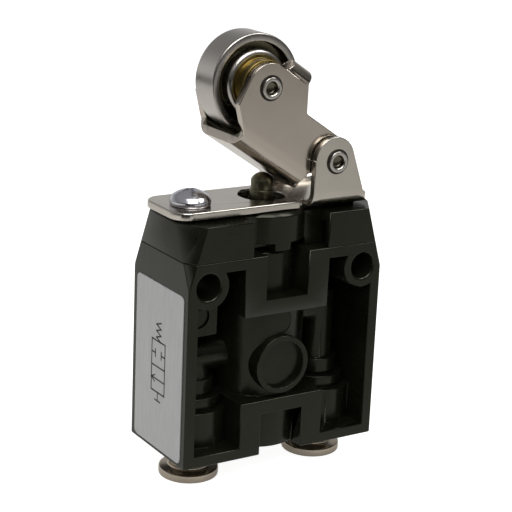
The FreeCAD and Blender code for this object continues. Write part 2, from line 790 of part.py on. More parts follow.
os.makedirs("parts", exist_ok=True)
axle_x, axle_height = lever_place(axle_u, axle_v)
write("body_moulding", body_moulding())
write("head_moulding", head_moulding())
write("lever_bracket", lever_bracket())
write("bracket_screws", bracket_screws())
write("pivot_rivet", tubular_rivet(pivot_x, pivot_height, ear_half_width))
write("lever", lever())
write("roller_rivet", tubular_rivet(axle_x, axle_height, lever_half_width))
write("roller", roller())
write("roller_bush_front", roller_bush(-1))
write("roller_bush_rear", roller_bush(1))
write("plunger", plunger())
write("neck_seal", neck_seal())
write("seal_retainer", seal_retainer())
write("spool", spool())
write("spool_o_rings", spool_o_rings())
write("return_spring", return_spring())
write("rating_label", rating_label())
for side_name, port_x in (("left", -port_spacing / 2), ("right", port_spacing / 2)):
    write("port_sleeve_" + side_name, port_sleeve(port_x))
    write("grab_ring_" + side_name, grab_ring(port_x))
    write("tube_seal_" + side_name, tube_seal(port_x))
    write("release_ring_" + side_name, release_ring(port_x))
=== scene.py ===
"""Looks of a roller lever air valve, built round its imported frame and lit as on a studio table.

The mouldings and the bent sheet parts keep the frame's own shape with rounded edges.  The turned
parts, screws, rings, label and stage are surfaces worked out here.  Lengths are millimetres until
a mesh is made.
"""
import json
import math

import bmesh
import bpy
import numpy as np
from bpy.props import FloatProperty, PointerProperty, StringProperty
from mathutils import Matrix, Vector


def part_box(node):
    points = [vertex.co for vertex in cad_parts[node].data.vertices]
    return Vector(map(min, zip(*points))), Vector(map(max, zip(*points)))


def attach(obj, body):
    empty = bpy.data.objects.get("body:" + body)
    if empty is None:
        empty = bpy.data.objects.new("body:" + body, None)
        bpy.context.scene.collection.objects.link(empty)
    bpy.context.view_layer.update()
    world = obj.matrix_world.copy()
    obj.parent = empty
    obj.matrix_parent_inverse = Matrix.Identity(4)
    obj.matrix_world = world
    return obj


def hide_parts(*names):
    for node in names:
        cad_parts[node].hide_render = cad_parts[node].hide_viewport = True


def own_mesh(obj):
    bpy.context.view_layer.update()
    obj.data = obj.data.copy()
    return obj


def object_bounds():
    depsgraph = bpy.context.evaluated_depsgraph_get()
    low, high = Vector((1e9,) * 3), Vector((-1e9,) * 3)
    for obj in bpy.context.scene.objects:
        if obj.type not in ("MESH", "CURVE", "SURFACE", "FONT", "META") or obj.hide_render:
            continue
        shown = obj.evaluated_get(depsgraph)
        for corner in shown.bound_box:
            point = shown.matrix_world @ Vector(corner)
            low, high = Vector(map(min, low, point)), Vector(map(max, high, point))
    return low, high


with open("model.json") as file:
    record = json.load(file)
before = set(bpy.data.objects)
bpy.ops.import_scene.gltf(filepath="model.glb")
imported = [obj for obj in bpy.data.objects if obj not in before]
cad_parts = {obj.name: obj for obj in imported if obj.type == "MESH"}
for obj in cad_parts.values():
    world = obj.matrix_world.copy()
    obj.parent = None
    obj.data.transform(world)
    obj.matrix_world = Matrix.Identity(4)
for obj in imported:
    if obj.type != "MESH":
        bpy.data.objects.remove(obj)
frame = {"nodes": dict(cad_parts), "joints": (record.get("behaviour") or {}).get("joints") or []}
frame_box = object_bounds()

bl_info = {
    "name": "Roller Lever Valve",
    "version": (1, 0, 0),
    "blender": (4, 5, 0),
    "location": "View3D > Sidebar > Valve",
    "description": "Dresses the frame of a roller lever air valve and sets its studio",
    "category": "Object",
}

MM = 0.001
JOINTS = {joint["name"]: joint for joint in frame["joints"]}

# Lever sheet, as its node has it
LEVER_TILT = 33.2
SHEET = 1.2
NODE_BEND = 1.7
SHOWN_BEND = 2.75

# Camera, at the photograph's viewpoint
AIM = (-0.65, -7.69, 0.97)
VIEW_AZIMUTH = -32.476
VIEW_ELEVATION = 16.428
VIEW_ROLL = 2.455
VIEW_DISTANCE = 210.06
LENS = 109.63
SENSOR = 36.0


def joint_place(name):
    """A joint's own point in millimetres."""
    return np.array(JOINTS[name]["pos_m"]) / MM


def node_box(name):
    """A node's lowest and highest corners in millimetres."""
    low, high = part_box(name)
    return np.array(low) / MM, np.array(high) / MM


# Materials

def linear(hex_colour):
    """Linear colour with alpha from an sRGB hex value."""
    value = int(hex_colour.lstrip("#"), 16)
    channels = np.array([value >> 16 & 255, value >> 8 & 255, value & 255]) / 255
    low = channels / 12.92
    high = ((channels + 0.055) / 1.055) ** 2.4
    return tuple(np.where(channels <= 0.04045, low, high)) + (1.0,)


def add(tree, kind, values=None, links=None, **settings):
    """A node with its attributes, the values of its sockets and what feeds them."""
    node = tree.nodes.new(kind)
    for name, value in settings.items():
        setattr(node, name, value)
    for socket, value in (values or {}).items():
        node.inputs[socket].default_value = value
    for socket, source in (links or {}).items():
        tree.links.new(source, node.inputs[socket])
    return node


def result(tree, kind, values=None, links=None, **settings):
    """The first output of such a node."""
    return add(tree, kind, values, links, **settings).outputs[0]


def surface(name, base, roughness, metallic=0.0, **values):
    """A material with one surface shader: returns it, its tree, the shader and where it lies."""
    material = bpy.data.materials.new(name)
    material.use_nodes = True
    tree = material.node_tree
    tree.nodes.clear()
    sockets = {"Base Color": linear(base), "Roughness": roughness, "Metallic": metallic}
    sockets.update({key.replace("_", " "): value for key, value in values.items()})
    shader = add(tree, "ShaderNodeBsdfPrincipled", sockets)
    add(tree, "ShaderNodeOutputMaterial", links={"Surface": shader.outputs[0]})
    place = add(tree, "ShaderNodeTexCoord").outputs["Object"]
    return material, tree, shader, place


def shader_of(material):
    """The node tree of a material and its surface shader."""
    tree = material.node_tree
    return tree, [node for node in tree.nodes if node.type == "BSDF_PRINCIPLED"][0]


def noise(tree, place, size_mm, stretch=(1, 1, 1), detail=3.0, turn=(0, 0, 0)):
    """Noise of one feature size, drawn out along an axis where its stretch is large."""
    squeeze = tuple(1 / s for s in stretch)
    mapped = result(tree, "ShaderNodeMapping", {"Scale": squeeze, "Rotation": turn},
                    {"Vector": place})
    return result(tree, "ShaderNodeTexNoise", {"Scale": 1.0 / (size_mm * MM), "Detail": detail},
                  {"Vector": mapped})


def wander(tree, place, size_mm, low=0.0, high=1.0, stretch=(1, 1, 1)):
    """A value that wanders over the surface from low to high, in patches of one size."""
    limits = {"From Min": 0.3, "From Max": 0.7, "To Min": low, "To Max": high}
    return result(tree, "ShaderNodeMapRange", limits,
                  {"Value": noise(tree, place, size_mm, stretch)})


def grained(tree, shader, place, size_mm, depth_mm, strength, **form):
    """Relief of one depth on the shader, in grains or lines of one size."""
    relief = result(tree, "ShaderNodeBump", {"Distance": depth_mm * MM, "Strength": strength},
                    {"Height": noise(tree, place, size_mm, **form)})
    tree.links.new(relief, shader.inputs["Normal"])


def tinted(tree, shader, source, dark, light):
    """Base colour that goes from one hex colour to another with a value."""
    mix = add(tree, "ShaderNodeMix", data_type="RGBA")
    tree.links.new(source, mix.inputs["Factor"])
    for socket, value in zip([s for s in mix.inputs if s.type == "RGBA"], (dark, light)):
        socket.default_value = linear(value)
    colour = [s for s in mix.outputs if s.type == "RGBA"][0]
    tree.links.new(colour, shader.inputs["Base Color"])


def black_technopolymer(finish):
    """Glass-filled technopolymer, injection moulded: near black, finely grained, softly glossy."""
    material, tree, shader, place = surface(
        "black_technopolymer", finish.plastic, 0.26,
        Specular_IOR_Level=0.31, Specular_Tint=linear("#FFFFE8"))
    tinted(tree, shader, wander(tree, place, 5.0), "#090A05", finish.plastic)
    tree.links.new(wander(tree, place, 3.0, 0.22, 0.29), shader.inputs["Roughness"])
    # Grain is about 0.05 mm on the real part, and drawn at 0.18 mm so that it shows
    grained(tree, shader, place, 0.18, 0.008, 0.2, detail=2.0)
    return material


def nickel_sheet(name, bright, shade):
    """Nickel-plated steel sheet, cut and bent: warm grey, satin, with faint rolling lines."""
    material, tree, shader, place = surface(name, bright, 0.22, 1.0)
    tinted(tree, shader, wander(tree, place, 6.0), shade, bright)
    tree.links.new(wander(tree, place, 3.5, 0.18, 0.23), shader.inputs["Roughness"])
    # Rolling lines run along the lever's sheet, a tenth of a millimetre apart
    rolling_angle = math.radians(-33)
    grained(tree, shader, place, 0.12, 0.0008, 0.4, stretch=(40, 1, 1), detail=2.0,
            turn=(0, rolling_angle, 0))
    return material


def lever_nickel(finish):
    """The lever's plated sheet: a darker, browner copy of the bracket's nickel, which paints in
    shade, with painted shade darkening the inside of its channel.
    """
    material = nickel_sheet("nickel_lever_shaded", finish.lever, "#B5ACA1")
    tree, shader = shader_of(material)
    pivot, along, square = lever_frame()
    place = add(tree, "ShaderNodeTexCoord").outputs["Object"]
    offset = result(tree, "ShaderNodeVectorMath", {1: tuple(pivot * MM)}, {0: place},
                    operation="SUBTRACT")
    rise, across = [add(tree, "ShaderNodeVectorMath", {1: tuple(axis)}, {0: offset},
                        operation="DOT_PRODUCT").outputs["Value"] for axis in (square, (0, 1, 0))]
    from_middle = result(tree, "ShaderNodeMath", links={0: across}, operation="ABSOLUTE")
    # Painted shade in the channel, which seen from the pivot is above the web, below the lips and
    # between the plates
    shaded_channel = inside_of(tree, (rise, -4.50, -4.42), (rise, 5.0, 3.0), (from_middle, 4.52, 4.46))
    # The channel's inside is painted darker, as shade
    tinted(tree, shader, shaded_channel, finish.lever, "#5E5A4A")
    return material


def turned_steel(name, base, roughness, depth_mm=0.0015, shade=None):
    """Turned metal, ringed by the tool's fine lines, which follow the profile length in its map."""
    material, tree, shader, place = surface(name, base, roughness, 1.0)
    if shade is not None:
        tinted(tree, shader, wander(tree, place, 2.5), shade, base)
    rough = wander(tree, place, 1.8, roughness * 0.93, roughness * 1.1)
    tree.links.new(rough, shader.inputs["Roughness"])
    # The map is in millimetres, and the tool's lines are 0.09 mm apart
    turning = result(tree, "ShaderNodeUVMap", uv_map="turning")
    grained(tree, shader, turning, 0.09 / MM, depth_mm, 0.6, stretch=(1 / 0.6, 1, 1), detail=2.0)
    return material


def inside_of(tree, *ramps):
    """Product of ramps (value, outside, inside), 0 at the outside and 1 at the inside, in mm."""
    product = None
    for value, outside, inside in ramps:
        ramp = result(tree, "ShaderNodeMapRange",
                      {"From Min": outside * MM, "From Max": inside * MM}, {"Value": value})
        if product is not None:
            ramp = result(tree, "ShaderNodeMath", links={0: product, 1: ramp}, operation="MULTIPLY")
        product = ramp
    return product


def distance(tree, place, centre_mm, along):
    """Distance of a place from a centre, along the axes that a vector of ones and noughts keeps."""
    centre = tuple(np.array(centre_mm) * MM)
    offset = result(tree, "ShaderNodeVectorMath", {1: centre}, {0: place}, operation="SUBTRACT")
    flat = result(tree, "ShaderNodeVectorMath", {1: along}, {0: offset}, operation="MULTIPLY")
    length = add(tree, "ShaderNodeVectorMath", links={0: flat}, operation="LENGTH")
    return length.outputs["Value"]


def from_axis(tree, joint):
    """Distance from the axis of a joint that turns about Y."""
    place = add(tree, "ShaderNodeTexCoord").outputs["Object"]
    return distance(tree, place, joint_place(joint), (1, 0, 1))


def rivet_steel():
    """Plated steel rivets, turned, with painted shade darkening their bores."""
    base = "#BFBBB5"
    material = turned_steel("rivet_steel", base, 0.24, depth_mm=0.0008)
    tree, shader = shader_of(material)
    from_axes = {0: from_axis(tree, "lever_hinge"), 1: from_axis(tree, "roller_spin")}
    radius = result(tree, "ShaderNodeMath", links=from_axes, operation="MINIMUM")
    # Painted shade inside each rivet's bore
    bore = inside_of(tree, (radius, 0.95, 0.84))
    tinted(tree, shader, bore, base, "#6E6A5C")
    return material


def roller_steel():
    """Bright turned steel, with painted shade darkening the recess between the rim and the hub."""
    base = "#BAB5AF"
    material = turned_steel("roller_steel", base, 0.28, depth_mm=0.0004)
    tree, shader = shader_of(material)
    radius = from_axis(tree, "roller_spin")
    # Painted shade in the recess, which lies outside the hub and inside the rim
    shaded_recess = inside_of(tree, (radius, 4.40, 4.50), (radius, 5.56, 5.46))
    tinted(tree, shader, shaded_recess, base, "#5C5846")
    return material


def sintered_bronze():
    """Oil-soaked sintered bronze: brown, pitted by its pores, a dull sheen."""
    material, tree, shader, place = surface("sintered_bronze", "#94834C", 0.3, 1.0)
    tinted(tree, shader, wander(tree, place, 0.9), "#857340", "#A3915C")
    grained(tree, shader, place, 0.12, 0.004, 0.4)
    return material


def nitrile_rubber():
    """Moulded nitrile rubber: black with a slight bloom."""
    material, tree, shader, place = surface("nitrile_rubber", "#161616", 0.6)
    grained(tree, shader, place, 0.1, 0.004, 0.5)
    return material


def drawn_spring_steel():
    """Bright drawn spring steel, with the marks of the die along it."""
    material, tree, shader, place = surface("spring_steel", "#C9C6BF", 0.25, 1.0)
    grained(tree, shader, place, 0.08, 0.002, 0.5, stretch=(4, 4, 1))
    return material


def silver_film(finish):
    """Silver printed polyester film: pale grey, faintly grained, under a clear top coat."""
    material, tree, shader, place = surface("silver_label_film", finish.label, 0.38, 0.25,
                                            Coat_Weight=0.25, Coat_Roughness=0.2)
    tinted(tree, shader, wander(tree, place, 0.5, stretch=(1, 1, 6)), "#9FA0A0", finish.label)
    grained(tree, shader, place, 0.25, 0.004, 0.3)
    return material


def painted_shadow_ring():
    """Painted shade: a brown black, half glossy ring that stands in for the shadow gap round a
    rivet's head.
    """
    material, tree, shader, place = surface("painted_shadow_ring", "#141008", 0.45)
    tinted(tree, shader, wander(tree, place, 0.4), "#0D0A04", "#1E1A0F")
    grained(tree, shader, place, 0.15, 0.01, 0.5)
    return material


def print_ink():
    """Black screen-printing ink, thin and matt."""
    material, tree, shader, place = surface("printing_ink", "#232323", 0.55)
    grained(tree, shader, place, 0.1, 0.002, 0.4)
    return material


def make_materials(finish):
    """Every finish of the valve, by the name of its slot."""
    return {
        "black_technopolymer": black_technopolymer(finish),
        "nickel_plated_sheet": nickel_sheet("nickel_plated_sheet", finish.nickel, "#C0BAB0"),
        # The lever's nickel is a darker copy of the bracket's, with shade painted into its colour
        "nickel_lever_shaded": lever_nickel(finish),
        "roller_steel": roller_steel(),
        "rivet_steel": rivet_steel(),
        "plunger_steel": turned_steel("plunger_steel", "#78755F", 0.29, depth_mm=0.0005,
                                      shade="#706D5A"),
        "plated_screw_steel": turned_steel("plated_screw_steel", "#D0D0D7", 0.2, depth_mm=0.0006),
        "nickel_plated_brass": turned_steel("nickel_plated_brass", "#B4A999", 0.17,
                                            depth_mm=0.0008),
        "spool_aluminium": turned_steel("spool_aluminium", "#D2D3D4", 0.28),
        "sintered_bronze": sintered_bronze(),
        "nitrile_rubber": nitrile_rubber(),
        "spring_steel": drawn_spring_steel(),
        "painted_shadow_ring": painted_shadow_ring(),
        "silver_label": silver_film(finish),
        "printing_ink": print_ink(),
    }


# Meshes

def softened(corners, steps=5):
    """Outline of corners (radius, height, cut), each rounded to the curve
    (1-t)^2 a + 2t(1-t) c + t^2 b, where c is the corner and a and b lie its cut from it."""
    table = np.asarray(corners, float)
    corner = table[:, :2]
    cut = table[:, 2:]
    back = np.roll(corner, 1, 0) - corner
    onward = np.roll(corner, -1, 0) - corner
    start = corner + back / np.linalg.norm(back, axis=1, keepdims=True) * cut
    end = corner + onward / np.linalg.norm(onward, axis=1, keepdims=True) * cut
    t = np.linspace(0, 1, steps)[None, :, None]
    start, corner, end = start[:, None], corner[:, None], end[:, None]
    curve = (1 - t) ** 2 * start + 2 * t * (1 - t) * corner + t ** 2 * end
    return curve.reshape(-1, 2)


def mesh_object(name, points, faces, map_places=None):
    """Object of points in millimetres and outward faces, merged where it has places in a map."""
    mesh = bpy.data.meshes.new(name)
    mesh.from_pydata(points * MM, [], faces)
    mapped = map_places is not None
    if mapped:
        mesh.uv_layers.new(name="turning").data.foreach_set("uv", map_places.ravel())
    shaped = bmesh.new()
    shaped.from_mesh(mesh)
    if mapped:
        bmesh.ops.remove_doubles(shaped, verts=shaped.verts, dist=1e-7)
    bmesh.ops.recalc_face_normals(shaped, faces=shaped.faces)
    shaped.to_mesh(mesh)
    shaped.free()
    return placed(name, mesh)


def placed(name, mesh):
    """Object of a mesh, in the scene."""
    made = bpy.data.objects.new(name, mesh)
    bpy.context.scene.collection.objects.link(made)
    return made


def grid_object(name, points, map_place, wrap):
    """Mesh over a grid of points (rows, columns, 3), closed round either way as wrap says."""
    rows, columns, _ = points.shape
    last_row = rows if wrap[0] else rows - 1
    last_column = columns if wrap[1] else columns - 1
    i, j = np.meshgrid(np.arange(last_row), np.arange(last_column), indexing="ij")
    ring = [(i, j), (i + 1, j), (i + 1, j + 1), (i, j + 1)]
    faces = np.stack([a % rows * columns + b % columns for a, b in ring], axis=-1).reshape(-1, 4)
    places = np.stack([map_place(a, b) for a, b in ring], axis=2).reshape(-1, 2)
    return mesh_object(name, points.reshape(-1, 3), faces.tolist(), places)


def turned(name, outline, centre, axis, turns=144, closed=True):
    """Surface of revolution.  The point at angle a and outline place (r, h) is centre +
    r (cos a side + sin a up) + h axis, and its map place is (a, length along the outline)."""
    axis = np.array(axis, float)
    side = np.cross(axis, (1, 0, 0) if abs(axis[0]) < 0.5 else (0, 1, 0))
    side /= np.linalg.norm(side)
    up = np.cross(axis, side)
    angle = np.linspace(0, 2 * np.pi, turns, endpoint=False)
    spoke = np.cos(angle)[:, None] * side + np.sin(angle)[:, None] * up
    radius, height = outline.T
    points = (np.array(centre) + radius[None, :, None] * spoke[:, None]
              + height[None, :, None] * axis)
    step = np.linalg.norm(np.diff(outline, axis=0, append=outline[:1]), axis=1)
    length = np.concatenate([[0], np.cumsum(step)])

    def map_place(a, b):
        return np.stack([a / turns, length[b]], axis=-1)

    return grid_object(name, points, map_place, (True, closed))


def smooth(piece, angle):
    """Smooth shading up to an angle, with flat faces kept flat."""
    piece.data.shade_smooth()
    piece.data.set_sharp_from_angle(angle=math.radians(angle))
    weighted = piece.modifiers.new("flat_faces", "WEIGHTED_NORMAL")
    weighted.keep_sharp = True


def finished(piece, body, slot, *nodes, finish=None):
    """Gives a piece its finish, which is its slot's if none is named, its body and its nodes."""
    piece.data.materials.clear()
    piece.data.materials.append(material_of(finish or slot))
    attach(piece, body)
    if nodes:
        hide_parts(*nodes)


def eased_copy(node, name, width_mm, share, cuts=(), remap=None):
    """Copy of a node's mesh, merged, with its flat faces made whole and its sharp edges rounded.
    It is cut along planes, then moved by remap, and each edge takes its share of the width."""
    mesh = frame["nodes"][node].data.copy()
    mesh.name = name
    shaped = bmesh.new()
    shaped.from_mesh(mesh)
    bmesh.ops.remove_doubles(shaped, verts=shaped.verts, dist=2e-7)
    bmesh.ops.dissolve_limit(shaped, angle_limit=math.radians(0.5), use_dissolve_boundaries=False,
                             verts=shaped.verts, edges=shaped.edges)
    for point, normal in cuts:
        everything = shaped.verts[:] + shaped.edges[:] + shaped.faces[:]
        bmesh.ops.bisect_plane(shaped, geom=everything, dist=1e-7, plane_co=Vector(point) * MM,
                               plane_no=normal)
    shaped.to_mesh(mesh)
    shaped.free()
    if remap is not None:
        mesh.vertices.foreach_set("co", (remap(read(mesh.vertices, "co", 3) / MM) * MM).ravel())
        mesh.update()
    mesh.shade_smooth()
    weigh_edges(mesh, share)
    piece = placed(name, mesh)
    edge = piece.modifiers.new("eased_edges", "BEVEL")
    edge.width = width_mm * MM
    edge.segments = 3
    edge.limit_method = "WEIGHT"
    edge.use_clamp_overlap = False
    edge.miter_outer = "MITER_ARC"
    weighted = piece.modifiers.new("flat_faces", "WEIGHTED_NORMAL")
    weighted.keep_sharp = True
    return piece


def read(items, name, width, kind=float):
    """One value of every item of a mesh, as rows of a given width."""
    values = np.empty(len(items) * width, kind)
    items.foreach_get(name, values)
    return values.reshape(-1, width)


def weigh_edges(mesh, share):
    """Gives each edge where two faces bend enough the weight share(middle, length, convex)."""
    least_bend = math.radians(38)
    edge_of = read(mesh.loops, "edge_index", 1, int).ravel()
    sides = read(mesh.polygons, "loop_total", 1, int).ravel()
    normal = read(mesh.polygons, "normal", 3)
    centre = read(mesh.polygons, "center", 3)
    face_of = np.repeat(np.arange(len(mesh.polygons)), sides)
    order = np.argsort(edge_of, kind="stable")
    edge, first, uses = np.unique(edge_of[order], return_index=True, return_counts=True)
    edge = edge[uses == 2]
    first = first[uses == 2]
    one = face_of[order[first]]
    other = face_of[order[first + 1]]
    bend = np.einsum("ij,ij->i", normal[one], normal[other])
    convex = np.einsum("ij,ij->i", normal[one], centre[other] - centre[one]) < 0
    ends = (read(mesh.vertices, "co", 3) / MM)[read(mesh.edges, "vertices", 2, int)[edge]]
    length = np.linalg.norm(ends[:, 0] - ends[:, 1], axis=1)
    weight = np.zeros(len(mesh.edges))
    bent = bend < math.cos(least_bend)
    weight[edge] = np.where(bent, share(ends.mean(axis=1), length, convex), 0)
    sharp = np.zeros(len(mesh.edges), bool)
    sharp[edge] = bent & (weight[edge] == 0)
    mesh.attributes.new("bevel_weight_edge", "FLOAT", "EDGE").data.foreach_set("value", weight)
    mesh.attributes.new("sharp_edge", "BOOLEAN", "EDGE").data.foreach_set("value", sharp)


def moulded_share(middle, length, convex):
    """Wide on the head's upper front edge and the fixing holes' rims, narrow on short edges, none
    on the small marks and in inner corners."""
    x, y, z = middle.T
    top = node_box("head_moulding")[1][2]
    fixing_hole_x = 12
    gate_mark_z = -6.6
    date_mark_x = -11.2
    date_mark_z = -5.25
    mark_reach = 1.8
    share = np.where(length > 3, 0.45, 0.3) * convex
    share[(z > top - 0.05) & (y < -12) & (length > 1.5)] = 1.0
    share[(np.hypot(np.abs(x) - fixing_hole_x, z) < 1.9) & (y < -14)] = 0.9
    share[np.hypot(x, z - gate_mark_z) < mark_reach] = 0
    share[np.hypot(x - date_mark_x, z - date_mark_z) < mark_reach] = 0
    return share


def sheet_share(middle, length, convex):
    """Wide along the top edge of the bracket's plate, where blanking rolls the sheet over."""
    share = np.full(len(length), 0.4)
    plate_thickness = 1.0
    plate_top = node_box("head_moulding")[1][2] + plate_thickness
    share[(np.abs(middle[:, 2] - plate_top) < 0.03) & convex] = 0.75
    return share


def lever_frame():
    """The lever's pivot and its directions along the arm and square to it."""
    tilt = math.radians(LEVER_TILT)
    along = np.array((-math.cos(tilt), 0, math.sin(tilt)))
    square = np.array((math.sin(tilt), 0, math.cos(tilt)))
    return joint_place("lever_hinge"), along, square


def wide_bend(places):
    """The lever's two lower bends on a larger arc, and its web's end drawn out to a tongue.  In the
    square of the new radius R at each corner, a point at the share f of the way round the old
    sheet and the depth d in it goes to the angle f times a quarter turn and the radius R - d
    about the square's inner corner.  The end moves by the smooth step of its inset."""
    pivot, along, square = lever_frame()
    low, high = node_box("lever")
    height = (places - pivot) @ square
    rise = height - height.min()
    y = places[:, 1]
    inset = np.minimum(y - low[1], high[1] - y)
    arm = SHOWN_BEND - NODE_BEND
    middle = NODE_BEND - SHEET / 2
    whole = 2 * arm + math.pi / 2 * middle
    swing = np.arctan2(np.maximum(NODE_BEND - inset, 0), np.maximum(NODE_BEND - rise, 0))
    depth = NODE_BEND - np.hypot(NODE_BEND - inset, NODE_BEND - rise)
    on_web = inset > NODE_BEND
    on_side = rise > NODE_BEND
    on_arc = arm + swing * middle
    beyond = arm + math.pi / 2 * middle + rise - NODE_BEND
    length = np.where(on_web, SHOWN_BEND - inset, np.where(on_side, beyond, on_arc))
    depth = np.where(on_web, rise, np.where(on_side, inset, depth))
    angle = length / whole * math.pi / 2
    new_inset = SHOWN_BEND - (SHOWN_BEND - depth) * np.sin(angle)
    new_rise = SHOWN_BEND - (SHOWN_BEND - depth) * np.cos(angle)
    inside = (inset < SHOWN_BEND) & (rise < SHOWN_BEND)
    moved = places + ((new_rise - rise) * inside)[:, None] * square
    tongue = 1.5
    tongue_slope = 1.4
    web_end = 2.3
    step = np.clip((inset - NODE_BEND) / tongue_slope, 0, 1)
    near_end = ((places - pivot) @ along < web_end) & (rise < SHEET + 0.05)
    moved -= (tongue * step ** 2 * (3 - 2 * step) * near_end)[:, None] * along
    outward = np.where(y - low[1] < high[1] - y, 1, -1)
    moved[:, 1] += (new_inset - inset) * inside * outward
    return moved


def bend_cuts():
    """Planes that cut the lever's sheet finely beside its lower bends."""
    pivot, along, square = lever_frame()
    low, high = node_box("lever")
    places = read(frame["nodes"]["lever"].data.vertices, "co", 3) / MM
    foot = ((places - pivot) @ square).min()
    tongue_root = 3.15
    cuts = []
    for reach in np.append(np.linspace(NODE_BEND, SHOWN_BEND, 8), tongue_root):
        cuts += [(pivot + square * (foot + reach), square), ((0, low[1] + reach, 0), (0, 1, 0)),
                 ((0, high[1] - reach, 0), (0, 1, 0))]
    return cuts


# Properties

class ValveFinish(bpy.types.PropertyGroup):
    plastic: StringProperty(name="Technopolymer", description="Hex colour of the mouldings",
                            default="#10110B")
    nickel: StringProperty(name="Nickel", description="Hex colour of the bracket's plated sheet",
                           default="#C8C2B9")
    # The lever's colour is the bracket's nickel painted darker, as shade
    lever: StringProperty(name="Lever", description="Hex colour of the lever's plated sheet",
                          default="#BDB4A9")
    label: StringProperty(name="Label", description="Hex colour of the film", default="#A8A9A9")
    edge: FloatProperty(name="Moulded edge", description="Widest rounding of the moulded edges",
                        default=0.4 * MM, unit="LENGTH", min=0.0)
    sheet_edge: FloatProperty(name="Sheet edge", description="Widest rounding of the cut sheet",
                              default=0.3 * MM, unit="LENGTH", min=0.0)


class ValveStudio(bpy.types.PropertyGroup):
    key_power: FloatProperty(name="Key light", description="Power of the soft box above the front",
                             default=2.8, unit="POWER", min=0.0)
    rim_power: FloatProperty(name="Rim light", description="Power of the soft box above the right",
                             default=1.1, unit="POWER", min=0.0)
    fill_power: FloatProperty(name="Fill light", description="Power of the soft box at the left",
                              default=1.4, unit="POWER", min=0.0)
    room: FloatProperty(name="Room", description="How pale the studio's ceiling is above the valve",
                        subtype="FACTOR", default=0.3, min=0.0, max=1.0)


MATERIALS = {}


def material_of(slot):
    """The finish of a slot, from the set that is made once."""
    if not MATERIALS:
        MATERIALS.update(make_materials(bpy.context.scene.valve_finish))
    return MATERIALS[slot]


# Operators

class VALVE_OT_mouldings(bpy.types.Operator):
    """Body and head mouldings, with their edges eased as a mould leaves them"""
    bl_idname = "valve.mouldings"
    bl_label = "Mouldings"

    def execute(self, context):
        width = context.scene.valve_finish.edge / MM
        for node in ("body_moulding", "head_moulding"):
            piece = eased_copy(node, node + "_shell", width, moulded_share)
            finished(piece, "valve_body", "black_technopolymer", node)
        return {"FINISHED"}


class VALVE_OT_sheet_parts(bpy.types.Operator):
    """Bracket and lever of bent sheet, with the rounding that blanking gives their edges"""
    bl_idname = "valve.sheet_parts"
    bl_label = "Bent sheet"

    def execute(self, context):
        width = context.scene.valve_finish.sheet_edge / MM
        bracket = eased_copy("lever_bracket", "lever_bracket_sheet", width, sheet_share)
        finished(bracket, "valve_body", "nickel_plated_sheet", "lever_bracket")
        lever = eased_copy("lever", "lever_sheet", width, sheet_share, bend_cuts(), wide_bend)
        finished(lever, "lever", "nickel_plated_sheet", "lever", finish="nickel_lever_shaded")
        return {"FINISHED"}


class VALVE_OT_roller(bpy.types.Operator):
    """Turned roller with a chamfered tread, a recess and a rounded hub, and its two bushes"""
    bl_idname = "valve.roller"
    bl_label = "Roller and bushes"

    def execute(self, context):
        centre = joint_place("roller_spin")
        low, high = node_box("roller")
        centre[1] = (low[1] + high[1]) / 2
        hub = 4.45
        rim = 5.45
        tread = 6.498
        web = 1.15
        side = [(2.62, 2.74, 0.05), (hub, 2.74, 0.75), (hub, web, 0.12), (rim, web, 0.18),
                (rim, 2.3, 0.14), (tread, 2.3, 0.3)]
        other = [(radius, -height, cut) for radius, height, cut in reversed(side)]
        roller = turned("roller_turned", softened(side + other), centre, (0, 1, 0), 192)
        smooth(roller, 50)
        finished(roller, "roller", "roller_steel", "roller")
        for end, facing in (("front", -1), ("rear", 1)):
            low, high = node_box("roller_bush_" + end)
            reach = abs((low, high)[facing > 0][1] - centre[1]) - 0.01
            bore = 1.56
            fit = 2.58
            flange = 3.85
            shoulder = 3.4
            hub_face = 2.76
            step = 2.85
            bush = softened([(bore, 0.05, 0.03), (fit, 0.05, 0.03), (fit, hub_face, 0.03),
                             (flange, hub_face, 0.03), (flange, step, 0.04), (shoulder, step, 0.05),
                             (shoulder, reach, 0.14), (bore, reach, 0.1)])
            piece = turned("roller_bush_%s_turned" % end, bush, centre, (0, facing, 0), 128)
            smooth(piece, 50)
            finished(piece, "roller", "sintered_bronze", "roller_bush_" + end)
        return {"FINISHED"}


class VALVE_OT_rivets(bpy.types.Operator):
    """Tubular rivets of the pivot and the roller, whose ends are rolled over the sheet"""
    bl_idname = "valve.rivets"
    bl_label = "Rivets"

    def execute(self, context):
        for node, joint, body in (("pivot_rivet", "lever_hinge", "valve_body"),
                                  ("roller_rivet", "roller_spin", "lever")):
            low, high = node_box(node)
            centre = joint_place(joint)
            centre[1] = (low[1] + high[1]) / 2
            end = (high[1] - low[1]) / 2
            grip = end - 0.4
            head = 1.41
            bore = 0.86
            half = [(head, grip, 0.02), (head, end - 0.02, 0.12), (1.0, end - 0.02, 0.08),
                    (bore, end - 0.16, 0.05), (bore, end - 0.85, 0.3), (0.0, end - 0.95, 0.0)]
            other = [(radius, -height, cut) for radius, height, cut in reversed(half)]
            piece = turned(node + "_turned", softened(other + half), centre, (0, 1, 0), 96,
                           closed=False)
            smooth(piece, 50)
            finished(piece, body, "rivet_steel", node)
            # Dark rings on the sheet round each head are painted shade for the gap there
            for name, facing in (("_shadow_ring_front", -1), ("_shadow_ring_rear", 1)):
                seat = softened([(1.4, grip + 0.005, 0.01), (1.69, grip + 0.005, 0.01),
                                 (1.69, grip + 0.06, 0.03), (1.4, grip + 0.06, 0.01)])
                ring = turned(node + name, seat, centre, (0, facing, 0), 96)
                smooth(ring, 50)
                finished(ring, body, None, finish="painted_shadow_ring")
        return {"FINISHED"}


